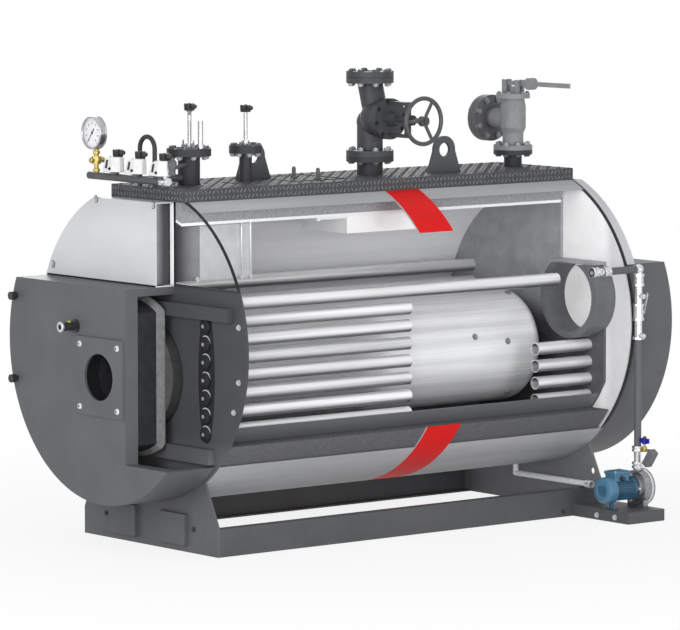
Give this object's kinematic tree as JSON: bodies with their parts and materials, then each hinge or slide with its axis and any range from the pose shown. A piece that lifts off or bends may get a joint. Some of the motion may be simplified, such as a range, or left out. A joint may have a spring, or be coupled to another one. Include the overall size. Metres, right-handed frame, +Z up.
{
  "type": "industrial steam boiler",
  "caption": "Sectioned horizontal fire-tube steam boiler with tread deck, stop valve, safety valve, instrument manifold and side-mounted feed pump.",
  "frame": {"origin": "floor level under the middle of the front end plate's foot", "axes": "+Y along the boiler from the burner front to the flue, +Z up, +X towards the sectioned side with the feed pump"},
  "size_m": [1.593, 2.964, 2.09],
  "materials": {
    "dark_paint": "satin dark grey paint",
    "fibre_dark": "grey fibre board",
    "refractory": "light grey refractory",
    "black_plastic": "black moulded plastic",
    "white_paint": "white paint",
    "grey_sheet": "light grey coated sheet with one red hoop",
    "wool": "grey mineral wool",
    "boiler_plate": "grey boiler plate",
    "boiler_plate_dark": "dark primed boiler plate",
    "white_board": "white insulating board",
    "light_grey_paint": "light grey paint",
    "galvanised": "galvanised sheet",
    "bright_steel": "bright steel",
    "tread_plate": "dark grey tread plate",
    "cast_grey": "dark grey painted casting",
    "wheel_paint": "dark painted wheel",
    "cast_light": "light grey painted casting",
    "gauge_case": "bright gauge case with a white dial",
    "brass": "brass",
    "white_plastic": "white moulded plastic",
    "blue_paint": "blue enamel",
    "pump_steel": "bright cast steel",
    "blue_plastic": "blue plastic"
  },
  "bodies": {
    "boiler": {"front_plate": "dark_paint", "rear_plate": "dark_paint", "base_beams": "dark_paint", "front_cover": "dark_paint", "door_lining": "fibre_dark", "refractory_slab": "refractory", "burner_plate": "dark_paint", "sight_tube": "dark_paint", "cover_knobs": "black_plastic", "front_panel": "white_paint", "jacket": "grey_sheet", "insulation": "wool", "shell": "boiler_plate", "rear_tube_plate": "boiler_plate_dark", "rear_liner": "white_board", "rear_collar": "boiler_plate_dark", "rear_panel": "light_grey_paint", "rear_cover": "dark_paint", "flue_spigot": "galvanised", "furnace": "bright_steel", "fire_tubes": "bright_steel", "stays": "boiler_plate", "steam_dryer": "white_paint", "deck": "tread_plate", "lifting_lugs": "dark_paint", "nozzles": "dark_paint", "level_probes": "bright_steel", "terminal_heads": "black_plastic", "steam_valve": "cast_grey", "safety_valve": "cast_light", "manifold": "dark_paint", "siphon": "dark_paint", "gauge": "gauge_case", "gauge_cock": "brass", "pressure_switches": "white_plastic", "drain_pipe": "dark_paint", "pump_platform": "dark_paint", "pump_motor": "blue_paint", "pump_casing": "pump_steel", "feed_pipe": "dark_paint", "feed_valves": "pump_steel", "tapping": "brass"},
    "handwheel": {"handwheel": "wheel_paint"},
    "lever": {"safety_lever": "cast_light"},
    "wing": {"wing_handle": "blue_plastic"}
  },
  "joints": [
    {"name": "handwheel_turn", "type": "hinge", "parent": "boiler", "child": "handwheel", "pos_m": [0.386, 1.268, 1.875], "axis": [1, 0, 0], "continuous": true},
    {"name": "lever_lift", "type": "hinge", "parent": "boiler", "child": "lever", "pos_m": [-0.046, 2.145, 2.007], "axis": [0, -1, 0], "range_deg": [0, 12]},
    {"name": "wing_turn", "type": "hinge", "parent": "boiler", "child": "wing", "pos_m": [0.783, 2.282, 0.36], "axis": [0, 0, 1], "range_deg": [0, 90]}
  ]
}
